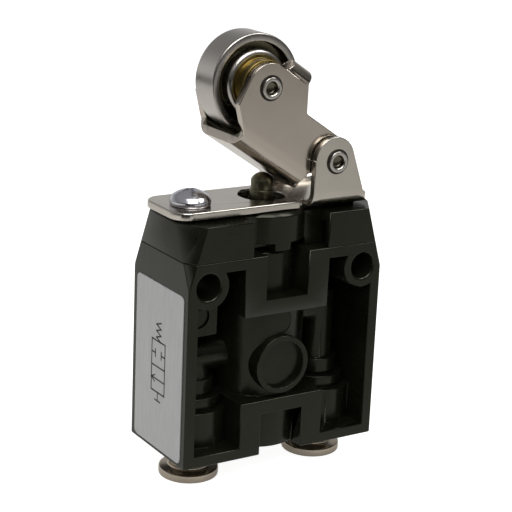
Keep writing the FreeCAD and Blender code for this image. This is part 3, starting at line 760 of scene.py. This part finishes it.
class VALVE_OT_plunger(bpy.types.Operator):
    """Turned plunger with a domed end, a fine step and a collar that stops it under the guide"""
    bl_idname = "valve.plunger"
    bl_label = "Plunger"

    def execute(self, context):
        low, high = node_box("plunger")
        centre = ((low[0] + high[0]) / 2, (low[1] + high[1]) / 2, 0.0)
        stem = 1.66
        tip = 1.51
        collar = 3.19
        foot = 1.59
        step = 10.2
        collar_top = 5.75
        collar_foot = collar_top - 1.19
        swing = np.linspace(0, math.asin(tip / stem), 12)
        crown = np.stack([stem * np.sin(swing), high[2] - stem + stem * np.cos(swing)], axis=1)
        rest = softened([(tip, step + 0.1, 0.05), (stem, step - 0.02, 0.08),
                         (stem, collar_top, 0.04), (collar, collar_top, 0.1),
                         (collar, collar_foot, 0.1), (foot, collar_foot, 0.05),
                         (foot, low[2] + 0.01, 0.1)], 4)
        outline = np.concatenate([crown, rest[1:], [(0.0, low[2] + 0.01)]])
        piece = turned("plunger_turned", outline, centre, (0, 0, 1), 96, closed=False)
        smooth(piece, 30)
        finished(piece, "plunger", "plunger_steel", "plunger")
        return {"FINISHED"}


class VALVE_OT_screws(bpy.types.Operator):
    """Pan head screws with a pressed cross recess"""
    bl_idname = "valve.screws"
    bl_label = "Bracket screws"

    def execute(self, context):
        low, high = node_box("bracket_screws")
        middle = (low + high) / 2
        head = 2.74
        shank = 1.39
        reach = (high[0] - low[0]) / 2 - 2.75
        top = high[2]
        end = low[2] - top + 0.01
        head_height = 2.1
        seat = 0.01 - head_height
        crown = head_height - 0.95
        ball = (head ** 2 + crown ** 2) / (2 * crown)
        face = np.linspace(0, head - 0.37, 60)
        dome = np.stack([face, ball - np.sqrt(ball ** 2 - face ** 2)], axis=1) * (1, -1)
        side = softened([(head, -crown, 0.35), (head, seat, 0.3), (shank, seat, 0.05),
                         (shank, end, 0.25)])
        outline = np.concatenate([dome, side[1:], [(0.0, end)]])
        for label, x in (("left", middle[0] - reach), ("right", middle[0] + reach)):
            piece = turned("bracket_screw_" + label, outline, (x, middle[1], top), (0, 0, 1), 240,
                           closed=False)
            self.press_recess(piece, (x, middle[1], top))
            smooth(piece, 40)
            finished(piece, "valve_body", "plated_screw_steel")
        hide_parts("bracket_screws")
        return {"FINISHED"}

    def press_recess(self, piece, centre):
        """Sinks the crown inside two crossed slots with sloping walls, deepest in the middle."""
        vertices = piece.data.vertices
        places = read(vertices, "co", 3)
        x, y, z = (places / MM - np.array(centre)).T
        arm = 1.1
        half_slot = 0.25
        wall = 0.1
        depth_in_middle = 0.95
        fall = 0.45
        crown_foot = -1.2
        along = np.maximum(np.abs(x) - arm, np.abs(y) - half_slot)
        across = np.maximum(np.abs(y) - arm, np.abs(x) - half_slot)
        inside = np.clip(-np.minimum(along, across) / wall, 0, 1)
        depth = inside * (depth_in_middle - fall * np.hypot(x, y)) * (z > crown_foot)
        places[:, 2] -= depth * MM
        vertices.foreach_set("co", places.ravel())
        piece.data.update()


class VALVE_OT_ports(bpy.types.Operator):
    """Release rings of the push-in ports, turned and plated, with the parts above them"""
    bl_idname = "valve.ports"
    bl_label = "Ports"

    def execute(self, context):
        for end in ("left", "right"):
            node = "release_ring_" + end
            low, high = node_box(node)
            centre = (low + high) / 2
            foot = low[2]
            top = high[2] - 0.01
            bore = 2.1
            flange = 4.09
            neck = 2.7
            outline = softened([(bore, foot + 0.01, 0.3), (flange, foot + 0.01, 0.28),
                                (flange, foot + 1.19, 0.22), (neck, foot + 1.22, 0.35),
                                (neck, top, 0.25), (bore, top, 0.05)])
            piece = turned(node + "_turned", outline, (centre[0], centre[1], 0), (0, 0, 1), 144)
            smooth(piece, 50)
            finished(piece, node, "nickel_plated_brass", node)
        for node, slot in (("port_sleeve_", "nickel_plated_brass"), ("grab_ring_", "spring_steel"),
                           ("tube_seal_", "nitrile_rubber")):
            for end in ("left", "right"):
                dress_node(node + end, slot)
        return {"FINISHED"}


class VALVE_OT_inner_parts(bpy.types.Operator):
    """Spool, seals and return spring inside the valve tube"""
    bl_idname = "valve.inner_parts"
    bl_label = "Inner parts"

    def execute(self, context):
        for node, slot in (("spool", "spool_aluminium"), ("spool_o_rings", "nitrile_rubber"),
                           ("neck_seal", "nitrile_rubber"), ("seal_retainer", "spool_aluminium")):
            dress_node(node, slot)
        self.spring()
        return {"FINISHED"}

    def spring(self):
        """Coil spring that shortens as the plunger goes down.  At share t of its length and angle a
        round the wire, the distance from its axis is R + w cos a, at the angle 2 pi n t, and the
        height is the foot's + h t + w sin a, where w falls to nothing at both ends."""
        low, high = node_box("return_spring")
        centre = (low + high) / 2
        wire = 0.23
        coil = (high[0] - low[0]) / 2 - wire
        foot = low[2] + wire
        rise = high[2] - low[2] - 2 * wire
        turns = 5
        rows = 301
        sides = 16
        share = np.linspace(0, 1, rows)[:, None]
        round_wire = np.linspace(0, 2 * np.pi, sides, endpoint=False)[None, :]
        thick = wire * np.sqrt(np.clip(np.minimum(share, 1 - share) * rows / 2, 0, 1))
        reach = coil + thick * np.cos(round_wire)
        swing = 2 * np.pi * turns * share
        points = np.stack([centre[0] + reach * np.cos(swing), centre[1] + reach * np.sin(swing),
                           foot + rise * share + thick * np.sin(round_wire)], axis=-1)

        def map_place(a, b):
            return np.stack([b / sides, a / turns], axis=-1)

        piece = grid_object("return_spring_wound", points, map_place, (False, True))
        piece.data.shade_smooth()
        finished(piece, "valve_body", "spring_steel", "return_spring")
        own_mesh(piece)


def dress_node(node, slot):
    """Gives a node that shows as it is its finish."""
    materials = frame["nodes"][node].data.materials
    materials.clear()
    materials.append(material_of(slot))


class VALVE_OT_label(bpy.types.Operator):
    """Blank silver film on the left side, with a standard symbol of a two-position valve"""
    bl_idname = "valve.label"
    bl_label = "Label"

    def execute(self, context):
        low, high = node_box("rating_label")
        corner = 0.9
        outline = softened([(low[1], low[2], corner), (high[1], low[2], corner),
                            (high[1], high[2], corner), (low[1], high[2], corner)], 10)
        film = self.plates("rating_label_film", outline[None], low[0] + 0.02, high[0])
        finished(film, "valve_body", "silver_label", "rating_label")
        lines = self.symbol((low[1] + high[1]) / 2, (low[2] + high[2]) / 2)
        ink = self.plates("label_print", self.bars(lines), low[0] + 0.008, low[0] + 0.03)
        finished(ink, "valve_body", None, finish="printing_ink")
        return {"FINISHED"}

    def plates(self, name, outlines, front, back):
        """Plates in one mesh: outlines (plates, corners, 2) in Y and Z, each carried along X."""
        count, corners, _ = outlines.shape
        flat = outlines.reshape(-1, 2)
        points = np.concatenate([np.insert(flat, 0, x, axis=1) for x in (front, back)])
        near = np.arange(len(flat)).reshape(count, corners)
        far = near + len(flat)
        wall = np.stack([near, far, np.roll(far, -1, 1), np.roll(near, -1, 1)], axis=-1)
        faces = near.tolist() + far[:, ::-1].tolist() + wall.reshape(-1, 4).tolist()
        return mesh_object(name, points, faces)

    def symbol(self, y, z):
        """Lines of the symbol: two squares, an arrow, two stopped ports, a spring and a roller."""
        box = 3.6
        left = z - box
        right = z + box
        half = box / 2
        lines = [((left, y - half), (right, y - half)), ((left, y + half), (right, y + half))]
        lines += [((x, y - half), (x, y + half)) for x in (left, z, right)]
        lines += [((left + half, y - half), (left + half, y + half)),
                  ((left + half, y + half), (left + half - 0.45, y + half - 0.9)),
                  ((left + half, y + half), (left + half + 0.45, y + half - 0.9))]
        for stop in (-1, 1):
            port = y + stop * half
            inner = port - stop
            lines += [((z + half, port), (z + half, inner)),
                      ((z + half - 0.5, inner), (z + half + 0.5, inner))]
        turns = [(right + 0.45 * k, y + (0.6 if k % 2 else -0.6)) for k in range(7)]
        lines += list(zip(turns[:-1], turns[1:]))
        lines += [((left, y), (left - 1.2, y)), ((left - 1.2, y - 0.7), (left - 1.2, y + 0.7))]
        return lines

    def bars(self, lines):
        """Outlines in Y and Z of thin bars, one for each line from (z, y) to (z, y): its ends moved
        half a stroke along it and half a stroke either way across it."""
        half_stroke = 0.11
        ends = np.array(lines, float)
        run = ends[:, 1] - ends[:, 0]
        run *= half_stroke / np.linalg.norm(run, axis=1, keepdims=True)
        across = np.column_stack([-run[:, 1], run[:, 0]])
        start = ends[:, 0] - run
        stop = ends[:, 1] + run
        corners = np.stack([start - across, stop - across, stop + across, start + across], axis=1)
        return corners[:, :, ::-1]


class VALVE_OT_stage(bpy.types.Operator):
    """Pale table, grey studio room, soft boxes, white backdrop and the camera"""
    bl_idname = "valve.stage"
    bl_label = "Studio"

    def execute(self, context):
        studio = context.scene.valve_studio
        self.table()
        self.room(studio)
        self.flag()
        self.soft_box("key_box", (-70, -330, 560), (0, -7, 10), 420, studio.key_power)
        self.soft_box("rim_box", (320, -190, 490), (0, -7, 10), 260, studio.rim_power)
        fill = self.soft_box("fill_box", (-400, -350, 250), (0, -7, 0), 300, studio.fill_power)
        fill.visible_glossy = False
        self.backdrop(context.scene)
        self.camera(context.scene)
        context.scene.view_settings.view_transform = "Standard"
        return {"FINISHED"}

    def table(self):
        """Round pale table under the release rings on a dark floor, white where it is seen, and
        brightest behind the valve and just in front of it."""
        foot = frame_box[0][2] / MM
        floor_radius = 3000
        rings = np.linspace(0, floor_radius, 40)
        outline = np.column_stack([rings, np.zeros(40)])
        table = turned("studio_table", outline, (0, 0, foot), (0, 0, 1), 96, closed=False)
        paper = "#B2B1AE"
        material, tree, shader, place = surface("table_paper", paper, 0.8)
        split = add(tree, "ShaderNodeSeparateXYZ", links={"Vector": place}).outputs
        leftward = result(tree, "ShaderNodeMath", {1: -0.35}, {0: split["X"]}, operation="MULTIPLY")
        behind = result(tree, "ShaderNodeMath", links={0: split["Y"], 1: leftward}, operation="ADD")
        lit_behind = result(tree, "ShaderNodeMapRange", {"From Min": -60 * MM, "From Max": 10 * MM,
                                                         "To Max": 0.33}, {"Value": behind})
        glow_centre = (10, -55, 0)
        away = distance(tree, place, glow_centre, (1, 1, 0))
        lit_near = result(tree, "ShaderNodeMapRange", {"From Min": 110 * MM, "From Max": 35 * MM,
                                                       "To Max": 0.05}, {"Value": away})
        lit = result(tree, "ShaderNodeMath", links={0: lit_behind, 1: lit_near}, operation="ADD")
        inner = inside_of(tree, (away, 430, 330))
        bounced = result(tree, "ShaderNodeMath", links={0: lit, 1: inner}, operation="MULTIPLY")
        tinted(tree, shader, inner, "#1C1C1C", paper)
        # White where the camera sees it, whatever light falls there
        shown = result(tree, "ShaderNodeMapRange", {"To Min": 1.1, "To Max": 0.92},
                       {"Value": inner})
        camera_ray = add(tree, "ShaderNodeLightPath").outputs["Is Camera Ray"]
        strength = result(tree, "ShaderNodeMix", data_type="FLOAT",
                          links={"Factor": camera_ray, "A": bounced, "B": shown})
        glow = result(tree, "ShaderNodeEmission", {"Color": (1, 1, 1, 1)}, {"Strength": strength})
        both = result(tree, "ShaderNodeAddShader", links={0: shader.outputs[0], 1: glow})
        output = [node for node in tree.nodes if node.type == "OUTPUT_MATERIAL"][0]
        tree.links.new(both, output.inputs["Surface"])
        table.data.materials.append(material)

    def room(self, studio):
        """Dome with dark walls, a grey ceiling and a pale foot behind, seen in reflections only."""
        swing = np.linspace(0, math.radians(93), 40)
        radius = 1800
        outline = np.column_stack([radius * np.sin(swing), radius * np.cos(swing)])
        foot = frame_box[0][2] / MM
        room = turned("studio_room", outline, (0, 0, foot), (0, 0, 1), 96, closed=False)
        material = bpy.data.materials.new("grey_walls")
        material.use_nodes = True
        tree = material.node_tree
        tree.nodes.clear()
        place = add(tree, "ShaderNodeTexCoord").outputs["Object"]
        split = add(tree, "ShaderNodeSeparateXYZ", links={"Vector": place}).outputs
        wall_foot = inside_of(tree, (split["Z"], 1000, 300), (split["Y"], 200, 1100))
        ceiling = result(tree, "ShaderNodeMapRange", {"From Min": 250 * MM, "From Max": 1300 * MM,
                                                      "To Min": 0.04, "To Max": studio.room},
                         {"Value": split["Z"]})
        strength = result(tree, "ShaderNodeMix", {"B": 0.7}, {"Factor": wall_foot, "A": ceiling},
                          data_type="FLOAT")
        glow = result(tree, "ShaderNodeEmission", {"Color": (1, 1, 1, 1)}, {"Strength": strength})
        add(tree, "ShaderNodeOutputMaterial", links={"Surface": glow})
        room.data.materials.append(material)
        room.visible_camera = False

    def flag(self):
        """Black cloth hung beside the camera, seen in reflections only."""
        azimuth = math.radians(VIEW_AZIMUTH)
        foot = frame_box[0][2] / MM
        half_width = 60
        height = 62
        columns = 13
        rows = 21
        across, rise = np.meshgrid(np.linspace(-half_width, half_width, columns),
                                   np.linspace(1, height, rows), indexing="ij")
        away = 130 + across ** 2 / 400
        points = np.stack([math.cos(azimuth) * across + math.sin(azimuth) * away,
                           math.sin(azimuth) * across - math.cos(azimuth) * away,
                           foot + rise], axis=-1)

        def map_place(a, b):
            return np.stack([a / columns, b / rows], axis=-1)

        cloth = grid_object("black_flag", points, map_place, (False, False))
        material, tree, shader, place = surface("black_cloth", "#0A0A0A", 0.9)
        grained(tree, shader, place, 1.0, 0.1, 0.5)
        cloth.data.materials.append(material)
        cloth.visible_camera = False
        cloth.visible_shadow = False

    def soft_box(self, name, place, aim, size, power):
        """Square lamp of a size in millimetres that faces its aim."""
        lamp = bpy.data.lights.new(name, "AREA")
        lamp.shape = "SQUARE"
        lamp.size = size * MM
        lamp.energy = power
        box = bpy.data.objects.new(name, lamp)
        box.location = Vector(place) * MM
        box.rotation_euler = (Vector(aim) - Vector(place)).to_track_quat("-Z", "Y").to_euler()
        bpy.context.scene.collection.objects.link(box)
        return box

    def backdrop(self, scene):
        """World that is white where it is seen, and dim where it only lights."""
        world = bpy.data.worlds.new("white_backdrop")
        scene.world = world
        world.use_nodes = True
        tree = world.node_tree
        tree.nodes.clear()
        path = add(tree, "ShaderNodeLightPath").outputs
        shown = path["Is Camera Ray"]
        for ray in ("Is Glossy Ray", "Is Transmission Ray"):
            shown = result(tree, "ShaderNodeMath", links={0: shown, 1: path[ray]},
                           operation="MAXIMUM")
        strength = result(tree, "ShaderNodeMapRange", {"To Min": 0.35}, {"Value": shown})
        sky = result(tree, "ShaderNodeBackground", {"Color": (1, 1, 1, 1)}, {"Strength": strength})
        add(tree, "ShaderNodeOutputWorld", links={"Surface": sky})

    def camera(self, scene):
        """Camera that looks at the aim from an azimuth and elevation, and rolls about its view."""
        azimuth = math.radians(VIEW_AZIMUTH)
        elevation = math.radians(VIEW_ELEVATION)
        roll = math.radians(VIEW_ROLL)
        back = Vector((math.sin(azimuth) * math.cos(elevation),
                       -math.cos(azimuth) * math.cos(elevation), math.sin(elevation)))
        level = Vector((math.cos(azimuth), math.sin(azimuth), 0))
        rise = back.cross(level)
        right = level * math.cos(roll) + rise * math.sin(roll)
        up = back.cross(right)
        data = bpy.data.cameras.new("camera")
        data.lens = LENS
        data.sensor_width = SENSOR
        data.clip_start = 0.01
        data.clip_end = 20
        camera = bpy.data.objects.new("camera", data)
        turn = Matrix((right, up, back)).transposed().to_4x4()
        camera.matrix_world = Matrix.Translation((Vector(AIM) + back * VIEW_DISTANCE) * MM) @ turn
        scene.collection.objects.link(camera)
        scene.camera = camera


class VALVE_PT_panel(bpy.types.Panel):
    """Buttons that dress the valve, piece by piece"""
    bl_idname = "VALVE_PT_panel"
    bl_label = "Roller Lever Valve"
    bl_space_type = "VIEW_3D"
    bl_region_type = "UI"
    bl_category = "Valve"

    def draw(self, context):
        for group in (context.scene.valve_finish, context.scene.valve_studio):
            for name in group.__annotations__:
                self.layout.prop(group, name)
        for operator in OPERATORS:
            self.layout.operator(operator.bl_idname)


OPERATORS = (VALVE_OT_mouldings, VALVE_OT_sheet_parts, VALVE_OT_roller, VALVE_OT_rivets,
             VALVE_OT_plunger, VALVE_OT_screws, VALVE_OT_ports, VALVE_OT_inner_parts,
             VALVE_OT_label, VALVE_OT_stage)
CLASSES = (ValveFinish, ValveStudio) + OPERATORS + (VALVE_PT_panel,)


def register():
    for one in CLASSES:
        bpy.utils.register_class(one)
    bpy.types.Scene.valve_finish = PointerProperty(type=ValveFinish)
    bpy.types.Scene.valve_studio = PointerProperty(type=ValveStudio)


def unregister():
    del bpy.types.Scene.valve_studio
    del bpy.types.Scene.valve_finish
    for one in reversed(CLASSES):
        bpy.utils.unregister_class(one)


def main():
    register()
    for operator in OPERATORS:
        group, name = operator.bl_idname.split(".")
        getattr(getattr(bpy.ops, group), name)()


if __name__ == "__main__":
    main()
